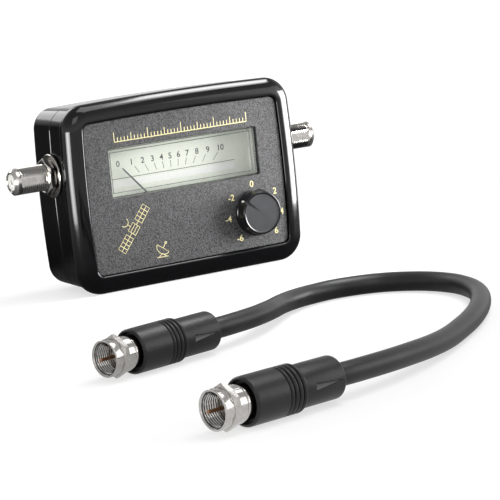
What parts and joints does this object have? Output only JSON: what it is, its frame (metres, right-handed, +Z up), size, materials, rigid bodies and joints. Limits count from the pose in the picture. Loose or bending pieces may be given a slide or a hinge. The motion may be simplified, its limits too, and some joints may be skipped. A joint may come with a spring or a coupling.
{
  "type": "satellite signal meter",
  "caption": "Hand-held moving-coil signal meter in a rounded two-part case with a gain knob, a coaxial socket on each side and a loose coaxial patch lead.",
  "frame": {"origin": "under the middle of the meter, on the surface it stands on; the loose lead lies in front of it", "axes": "+X to the meter's right seen from the front, +Y from the face to the back, +Z up"},
  "size_m": [0.1848, 0.2657, 0.0678],
  "materials": {
    "case": "polished black moulding",
    "face": "fine textured dark grey",
    "clear": "clear moulded acrylic",
    "meter_housing": "ivory moulding",
    "dial": "pale green grey",
    "lamp": "clear lens",
    "iron": "plated soft iron",
    "magnet": "ground magnet alloy",
    "copper": "bare copper",
    "needle": "matt black paint",
    "brass": "machined",
    "tin": "tin plate",
    "nickel": "nickel plated brass",
    "knob": "gloss side, satin top",
    "insulator": "milky plastic",
    "board": "green solder mask",
    "screw": "dark plated",
    "black_plastic": "moulded",
    "boot": "soft moulded vinyl",
    "cable": "smooth jacket"
  },
  "bodies": {
    "case": {"front_shell": "case", "rear_cover": "case", "face_plate": "face", "meter_cover": "clear", "meter_base": "meter_housing", "dial_plate": "dial", "dial_lamp": "lamp", "meter_yoke": "iron", "magnet_core": "magnet", "pivot_bridge": "brass", "jewel_screw_front": "brass", "jewel_screw_rear": "brass", "potentiometer": "tin", "potentiometer_nut": "nickel", "socket_left": "nickel", "socket_washer_left": "nickel", "socket_nut_left": "nickel", "socket_insulator_left": "insulator", "socket_contact_left": "brass", "socket_right": "nickel", "socket_washer_right": "nickel", "socket_nut_right": "nickel", "socket_insulator_right": "insulator", "socket_contact_right": "brass", "circuit_board": "board", "board_screw_1": "screw", "board_screw_2": "screw", "tuner_shield": "tin", "buzzer": "black_plastic", "case_screw_1": "screw", "case_screw_2": "screw", "case_screw_3": "screw", "case_screw_4": "screw", "plug_boot_a": "boot", "plug_ferrule_a": "nickel", "plug_dielectric_a": "insulator", "plug_pin_a": "copper", "plug_boot_b": "boot", "plug_ferrule_b": "nickel", "plug_dielectric_b": "insulator", "plug_pin_b": "copper", "lead_cable": "cable"},
    "gain_knob": {"knob": "knob", "potentiometer_shaft": "tin"},
    "pointer": {"needle": "needle", "moving_coil": "copper", "spindle_front": "iron", "spindle_rear": "iron", "hairspring": "brass"},
    "nut_a": {"plug_nut_a": "nickel"},
    "nut_b": {"plug_nut_b": "nickel"}
  },
  "joints": [
    {"name": "knob_turn", "type": "hinge", "parent": "case", "child": "gain_knob", "pos_m": [0.0263, -0.0132, 0.0197], "axis": [0, 1, 0], "range_deg": [-98, 202]},
    {"name": "needle_swing", "type": "hinge", "parent": "case", "child": "pointer", "pos_m": [-0.0018, -0.006, 0.0199], "axis": [0, 1, 0], "range_deg": [0, 82], "stiffness_Nm_per_rad": 0.0002, "springref_deg": -5.73},
    {"name": "plug_nut_a_spin", "type": "hinge", "parent": "case", "child": "nut_a", "pos_m": [-0.0658, -0.1409, 0.0068], "axis": [-0.9668, -0.2554, 0], "continuous": true},
    {"name": "plug_nut_b_spin", "type": "hinge", "parent": "case", "child": "nut_b", "pos_m": [-0.0796, -0.2335, 0.0068], "axis": [-0.981, -0.1942, 0], "continuous": true}
  ]
}
